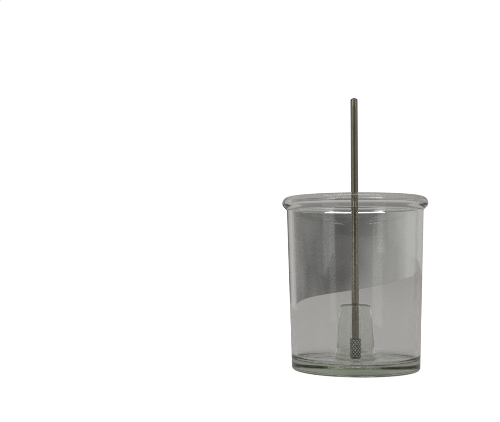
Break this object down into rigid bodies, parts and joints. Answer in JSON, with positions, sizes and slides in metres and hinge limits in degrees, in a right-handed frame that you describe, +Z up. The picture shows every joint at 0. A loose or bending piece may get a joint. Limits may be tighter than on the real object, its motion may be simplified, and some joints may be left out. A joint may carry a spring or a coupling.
{
  "type": "fuel sampler cup",
  "caption": "Clear moulded sampling cup with a rolled rim and a tapered centre post that holds an upright steel probe for opening a drain valve.",
  "frame": {"origin": "centre of the cup's flat underside", "axes": "+Z up along the common axis of the cup and the probe; the part is round, so X and Y are any pair square to it"},
  "size_m": [0.0636, 0.0636, 0.119],
  "materials": {
    "clear_plastic": "clear, polished mould finish",
    "steel": "drawn bar, grain along its length"
  },
  "bodies": {
    "root": {"cup": "clear_plastic", "probe_pin": "steel"}
  },
  "joints": []
}
